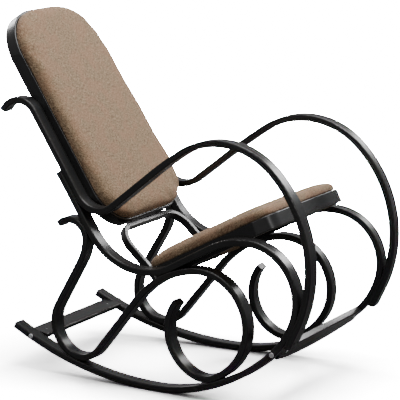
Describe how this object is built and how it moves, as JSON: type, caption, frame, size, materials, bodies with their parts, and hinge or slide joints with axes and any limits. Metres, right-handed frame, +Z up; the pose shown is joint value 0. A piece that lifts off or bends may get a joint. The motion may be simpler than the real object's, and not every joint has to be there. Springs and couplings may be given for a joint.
{
  "type": "rocking chair",
  "caption": "Bentwood rocking chair with black lacquered scroll side frames, curved runners, a fabric seat pad and a tall upholstered hoop back.",
  "frame": {"origin": "on the floor, under the centre of the bounding box, with the chair standing at rest on its runners", "axes": "+Z up, the chair faces -Y, +X is the sitter's left"},
  "size_m": [0.5574, 1.0228, 0.9803],
  "materials": {
    "black_lacquer": "satin lacquer",
    "plywood": "unfinished plywood",
    "woven_fabric": "woven melange",
    "bolt_steel": "zinc plated",
    "black_steel": "black oxide"
  },
  "bodies": {
    "root": {"arm_left": "black_lacquer", "arm_right": "black_lacquer", "back_cover": "woven_fabric", "back_hoop": "black_lacquer", "back_pad": "woven_fabric", "back_panel": "plywood", "back_screws": "bolt_steel", "barrel_nuts": "bolt_steel", "bow_screws": "black_steel", "corner_blocks": "plywood", "frame_screws": "black_steel", "front_stretcher": "black_lacquer", "lumbar_bow": "black_lacquer", "rear_stretcher": "black_lacquer", "runner_left": "black_lacquer", "runner_right": "black_lacquer", "scroll_leg_left": "black_lacquer", "scroll_leg_right": "black_lacquer", "seat_frame": "black_lacquer", "seat_pad": "woven_fabric", "seat_panel": "plywood", "seat_screws": "bolt_steel", "stretcher_bolts": "bolt_steel"}
  },
  "joints": []
}
